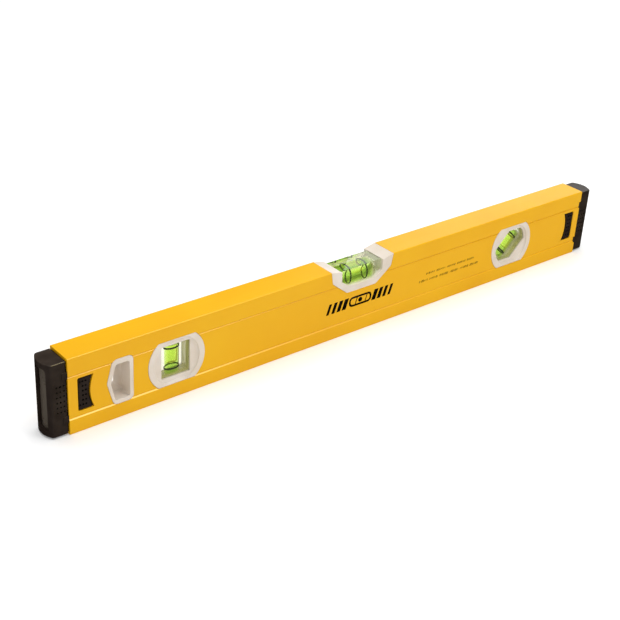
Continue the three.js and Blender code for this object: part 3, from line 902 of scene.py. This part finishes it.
def trimmed(piece, prefix):  # the ends of the sloping bore are cut by the flats of its block
    if prefix == "angle":
        combine(piece, [moveTo(slopingBlock("trim", -0.12, -7, 7), angleX, 0, middleZ)], "INTERSECT")
    return piece


def makeFluid(prefix):
    v = vials[prefix]
    low, high = v["low"], v["high"] - bore["plug"]
    middle, half = (low + high) / 2, (high - low) / 2
    wall = [(bore["radius"] - bore["belly"] * ((z - middle) / half) ** 2, z)
            for z in (low + (high - low) * k / 12 for k in range(13))]
    piece = turned(f"{prefix}_spirit", [(0, low)] + wall + [(0, high)])
    easeEdges(piece, 0.5, 3, 60)
    placeVial(piece, prefix)
    return hand(trimmed(piece, prefix), spirit, [f"{prefix}_vial_fluid"])


def makeRings(prefix):
    half = bore["ringWidth"] / 2
    inner = bore["radius"] + 0.02
    outer = inner + bore["ringThick"]
    for i, name in enumerate(vials[prefix]["rings"]):
        at = (i - 0.5) * bore["ringSpacing"]
        corners = rounded(inner, outer, at - half, at + half, bore["ringEdge"])
        piece = turned(f"{prefix}_{name}_band", filleted(corners, 2), 96)
        hand(placeVial(piece, prefix), blackInk, [f"{prefix}_{name}"])


def makePlug(prefix):
    high, edge = vials[prefix]["high"], bore["plugEdge"]
    low = high - bore["plug"] + 0.05
    r = bore["radius"] - 0.1
    profile = [(0, low), (r - edge, low), (r, low + edge), (r, high - edge), (r - edge, high), (0, high)]
    piece = trimmed(placeVial(turned(f"{prefix}_plug", profile), prefix), prefix)
    return hand(piece, gluedAcrylic, [f"{prefix}_vial_plug"])


def makeBubble(prefix):
    v = vials[prefix]
    half = v["bubble"] / 2
    if prefix == "centre":
        arcPoints = [(sin(t * pi / 24), -cos(t * pi / 24)) for t in range(25)]
        profile = [(max(r, 0) * bubbleShape["levelHalfWidth"], z * half) for r, z in arcPoints]
        profile[0], profile[-1] = (0, -half), (0, half)
        piece = turned("centre_air", profile, 48)
        flat = bubbleShape["levelHalfHeight"] / bubbleShape["levelHalfWidth"]
        piece.data.transform(Matrix.Scale(flat, 4, (1, 0, 0)))
        top = bore["radius"] - bore["belly"] - bubbleShape["levelGap"]
        moveTo(piece, -(top - bubbleShape["levelHalfHeight"]))
    else:
        top = v["bubbleTop"]
        r, e = bubbleShape["upright"], bubbleShape["flat"]
        cove = [(r * sin(t * pi / 16), e * (1 - cos(t * pi / 16))) for t in range(9)]
        low = [(a, top - v["bubble"] + b) for a, b in cove]
        high = [(a, top - b * 0.4) for a, b in reversed(cove)]
        piece = turned(f"{prefix}_air", low + high, 48)
    body = f"{prefix}_bubble"
    return hand(placeVial(piece, prefix), airBubble, [body], body)


for prefix in vials:
    makeBlock(prefix)
    makeFluid(prefix)
    makeRings(prefix)
    makePlug(prefix)
    makeBubble(prefix)
print("vials made")


# print on the front face

mark = {"low": 18.2, "high": 27.4, "inset": 0.9, "lean": 0.32, "thickness": 0.04, "bar": 3.4, "space": 1.3,
        "bars": 4, "narrowing": 0.12, "signHalf": 9.5, "tubeHalf": 3.6, "tubeCorner": 3, "wall": 1.4,
        "bubble": 1.7, "line": 0.7, "lineHalf": 2.6, "lineAt": 4.2}
rows = [{"x": 59, "z": 24.75, "Count": 38, "Height": 1.7, "Seed": 4},
        {"x": 52.8, "z": 20.0, "Count": 48, "Height": 1.9, "Seed": 9}]
rowPitch, rowLean = 1.2, 0.25  # mm between strokes, and their lean in radians


def leaning(x0, x1, z0, z1):
    shift = (z1 - z0) * mark["lean"]
    return [(x0, z0), (x1, z0), (x1 + shift, z1), (x0 + shift, z1)]


def makeMark():  # leaning bars either side of a vial sign
    m = mark
    near, far = -panelFace - m["thickness"], -panelFace + 0.05
    low, high = m["low"] + m["inset"], m["high"] - m["inset"]
    bars = []
    for k in range(m["bars"]):
        at = m["signHalf"] + 0.2 + k * (m["bar"] + m["space"])
        leftAt = -at - 2.4  # further out, because the bars lean towards the sign on the left
        wide = m["bar"] * (1 - m["narrowing"] * k)
        bars.append(leaning(at, at + wide, low, high))
        bars.append(leaning(leftAt - wide, leftAt, low, high))
    middle = (m["low"] + m["high"]) / 2
    half, tubeHalf = m["signHalf"], m["tubeHalf"]
    tube = rounded(-half, half, middle - tubeHalf, middle + tubeHalf, m["tubeCorner"])
    half, innerHalf = half - m["wall"], tubeHalf - m["wall"]
    inner = rounded(-half, half, middle - innerHalf, middle + innerHalf, 1.8)
    piece = prism("face_mark", filleted(tube), near, far)
    combine(piece, [prism("inner", filleted(inner), near - 1, far + 1)])
    parts = [prism("bar", bar, near, far) for bar in bars]
    bubble = arc(0, middle, m["bubble"], 0, 2 * pi * 23 / 24, 23)
    parts.append(prism("bubble", bubble, near, far))
    for x in (-m["lineAt"], m["lineAt"]):
        line = leaning(x - m["line"] / 2, x + m["line"] / 2, middle - m["lineHalf"], middle + m["lineHalf"])
        parts.append(prism("line", line, near, far))
    combine(piece, parts, "UNION")
    return hand(piece, blackInk)


def makeRow(number, row):
    anchor = bpy.data.objects.new(f"small_print_{number}", bpy.data.meshes.new("row"))
    scene.collection.objects.link(anchor)
    start = Vector((row["x"], -panelFace - mark["thickness"] / 4, row["z"])) * mm
    runTree(anchor, strokeTree, {
        "Count": row["Count"], "Pitch": rowPitch * mm, "Height": row["Height"] * mm,
        "Thickness": mark["thickness"] * mm, "Lean": rowLean, "Seed": row["Seed"], "Start": start,
        "Material": blackInk})
    return hand(anchor, blackInk)


makeMark()
for number, row in enumerate(rows, 1):
    makeRow(number, row)
print("print made")


# floor, light and camera

floorMesh = bmesh.new()
bmesh.ops.create_grid(floorMesh, x_segments=1, y_segments=1, size=40)
floor = newPiece("floor", floorMesh)
floor.visible_glossy = False  # the front face would mirror the white floor and lose its colour
floorMaterial, floorTree = startMaterial("plain white floor")
floorShader = addNode(floorTree, "ShaderNodeBsdfPrincipled", {
    "Base Color": linear("#F4F4F4"), "Roughness": 0.8, "Emission Color": (1, 1, 1, 1),
    "Emission Strength": 0.15})
addNode(floorTree, "ShaderNodeOutputMaterial", {"Surface": floorShader.outputs[0]})
floor.data.materials.append(floorMaterial)

world = bpy.data.worlds.new("studio")
world.use_nodes = True
background = world.node_tree.nodes["Background"]
background.inputs["Color"].default_value = (1, 1, 1, 1)
background.inputs["Strength"].default_value = 0.58
world.cycles_visibility.glossy = False  # only the softboxes mirror, so that the colours stay deep
scene.world = world

lamps = {
    "overhead softbox": {"place": (0.0, 0.1, 1.3), "aim": (0, 0, 0), "size": 1.2, "power": 11},
    "back right softbox": {"place": (1.2, 0.8, 0.62), "aim": (0.1, 0, 0.04), "size": 0.7, "power": 2.6},
    "front softbox": {"place": (-0.2, -1.5, 0.5), "aim": (0, 0, 0.02), "size": 0.9, "power": 1.0},
    "high front lamp": {"place": (0.35, -0.75, 1.1), "aim": (-0.1, 0, 0.02), "size": 0.35, "power": 2.8},
    "edge lamp": {"place": (0.23, -0.53, 0.8), "aim": (-0.19, 0, 0.03), "size": 0.12, "power": 22,
                  "edges": True, "colour": "#FFE9A8"},
}
edgeLit = bpy.data.collections.new("pieces that the edge lamp picks out")
for name in ("beam", "cap_left", "cap_right"):
    edgeLit.objects.link(bpy.data.objects[name])
for name, lamp in lamps.items():
    light = bpy.data.lights.new(name, "AREA")
    light.shape = "SQUARE"
    light.size = lamp["size"]
    light.energy = lamp["power"]
    light.color = linear(lamp.get("colour", "#FFFFFF"))[:3]
    holder = bpy.data.objects.new(name, light)
    holder.location = lamp["place"]
    holder.rotation_euler = (Vector(lamp["aim"]) - holder.location).to_track_quat("-Z", "Y").to_euler()
    if lamp.get("edges"):  # a lamp that only draws highlights along the edges
        holder.visible_diffuse = False
        holder.light_linking.receiver_collection = edgeLit
    scene.collection.objects.link(holder)

view = {"azimuth": -40.611, "elevation": 28.673, "roll": 3.422, "lens": 73.54,
        "place": (-492.4, -534.5, 406.1)}
turn, lift, roll = (radians(view[name]) for name in ("azimuth", "elevation", "roll"))
back = Vector((sin(turn) * cos(lift), -cos(turn) * cos(lift), sin(lift)))
right = Vector((0, 0, 1)).cross(back).normalized()
up = back.cross(right)
rolledRight = cos(roll) * right + sin(roll) * up
rolledUp = cos(roll) * up - sin(roll) * right
camera = bpy.data.objects.new("camera", bpy.data.cameras.new("camera"))
camera.data.lens = view["lens"]
camera.data.clip_start = 0.01
camera.matrix_world = (Matrix.Translation(Vector(view["place"]) * mm)
                       @ Matrix((rolledRight, rolledUp, back)).transposed().to_4x4())
scene.collection.objects.link(camera)
scene.camera = camera
scene.view_settings.view_transform = "Standard"
print("floor, light and camera set")
